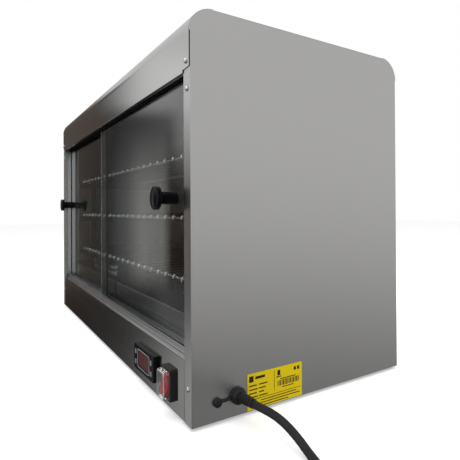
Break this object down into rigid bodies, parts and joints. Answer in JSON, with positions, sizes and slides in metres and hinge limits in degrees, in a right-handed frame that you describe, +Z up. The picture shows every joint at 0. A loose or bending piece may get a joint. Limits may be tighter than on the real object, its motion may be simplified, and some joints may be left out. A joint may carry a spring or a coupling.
{
  "type": "hot food display case",
  "caption": "Counter-top heated display cabinet in brushed steel with a rounded top, sliding glass doors, wire racks, a digital controller, a rocker switch and a mains lead.",
  "frame": {"origin": "on the counter, at the bottom centre of the box around everything but the mains lead", "axes": "+Z up, -Y the side with the sliding doors, +X the side that the mains lead leaves from"},
  "size_m": [1.0095, 0.4791, 0.474],
  "materials": {
    "brushed_steel": "fine vertical brushing",
    "chromed_steel": "bright",
    "aluminium": "satin",
    "glass": "clear float glass with green edges",
    "gloss_black": "gloss",
    "matte_black": "fine texture",
    "rubber": "matt",
    "grey_plastic": "satin",
    "display_red": "smoked red window",
    "red_plastic": "gloss",
    "clear_silicone": "clear, rippled",
    "yellow_film": "printed film, satin",
    "brass": "plain",
    "element_sheath": "oxidised"
  },
  "bodies": {
    "case": {"back_panel": "brushed_steel", "base_plate": "brushed_steel", "bottom_track": "aluminium", "controller_body": "gloss_black", "controller_window": "display_red", "cord_coil": "rubber", "cord_gland": "matte_black", "cord_tail": "rubber", "element_bracket_left": "brushed_steel", "element_bracket_right": "brushed_steel", "foot_front_left": "rubber", "foot_front_right": "rubber", "foot_rear_left": "rubber", "foot_rear_right": "rubber", "gland_tether": "matte_black", "header_rail": "brushed_steel", "heating_element": "element_sheath", "inner_deck": "brushed_steel", "jamb_left": "aluminium", "jamb_right": "aluminium", "lower_fascia": "brushed_steel", "mains_cord": "rubber", "plug_body": "matte_black", "plug_pin_left": "brass", "plug_pin_right": "brass", "rack_frame_left": "brushed_steel", "rack_frame_right": "brushed_steel", "rating_label": "yellow_film", "rivet_cover_left": "chromed_steel", "rivet_cover_right": "chromed_steel", "rivet_lower_left": "chromed_steel", "rivet_lower_right": "chromed_steel", "rivet_upper_left": "chromed_steel", "rivet_upper_right": "chromed_steel", "sensor_probe": "chromed_steel", "side_panel_left": "brushed_steel", "side_panel_right": "brushed_steel", "switch_boot": "clear_silicone", "switch_housing": "matte_black", "terminal_block": "grey_plastic", "top_cover": "brushed_steel", "top_track": "matte_black"},
    "door_right": {"door_glass_right": "glass", "knob_right": "gloss_black", "knob_screw_right": "chromed_steel"},
    "door_left": {"door_glass_left": "glass", "knob_left": "gloss_black", "knob_screw_left": "chromed_steel"},
    "rocker": {"switch_rocker": "red_plastic"},
    "rack_lower_body": {"rack_lower": "chromed_steel"},
    "rack_middle_body": {"rack_middle": "chromed_steel"},
    "rack_upper_body": {"rack_upper": "chromed_steel"},
    "tray": {"water_tray": "brushed_steel"},
    "button_upper_left": {"key_upper_left": "grey_plastic"},
    "button_lower_left": {"key_lower_left": "grey_plastic"},
    "button_upper_right": {"key_upper_right": "grey_plastic"},
    "button_lower_right": {"key_lower_right": "grey_plastic"}
  },
  "joints": [
    {"name": "right_door_slide", "type": "slide", "parent": "case", "child": "door_right", "axis": [1, 0, 0], "range_m": [-0.283, 0]},
    {"name": "left_door_slide", "type": "slide", "parent": "case", "child": "door_left", "axis": [1, 0, 0], "range_m": [0, 0.283]},
    {"name": "rocker_tilt", "type": "hinge", "parent": "case", "child": "rocker", "pos_m": [0.326, -0.1744, 0.0405], "axis": [1, 0, 0], "range_deg": [0, 18]},
    {"name": "press_upper_left", "type": "slide", "parent": "case", "child": "button_upper_left", "axis": [0, 1, 0], "range_m": [0, 0.0006], "stiffness_N_per_m": 200},
    {"name": "press_lower_left", "type": "slide", "parent": "case", "child": "button_lower_left", "axis": [0, 1, 0], "range_m": [0, 0.0006], "stiffness_N_per_m": 200},
    {"name": "press_upper_right", "type": "slide", "parent": "case", "child": "button_upper_right", "axis": [0, 1, 0], "range_m": [0, 0.0006], "stiffness_N_per_m": 200},
    {"name": "press_lower_right", "type": "slide", "parent": "case", "child": "button_lower_right", "axis": [0, 1, 0], "range_m": [0, 0.0006], "stiffness_N_per_m": 200},
    {"name": "lift_rack_lower", "type": "slide", "parent": "case", "child": "rack_lower_body", "axis": [0, 0, 1], "range_m": [0, 0.012]},
    {"name": "lift_rack_middle", "type": "slide", "parent": "case", "child": "rack_middle_body", "axis": [0, 0, 1], "range_m": [0, 0.012]},
    {"name": "lift_rack_upper", "type": "slide", "parent": "case", "child": "rack_upper_body", "axis": [0, 0, 1], "range_m": [0, 0.012]},
    {"name": "lift_tray", "type": "slide", "parent": "case", "child": "tray", "axis": [0, 0, 1], "range_m": [0, 0.012]}
  ]
}
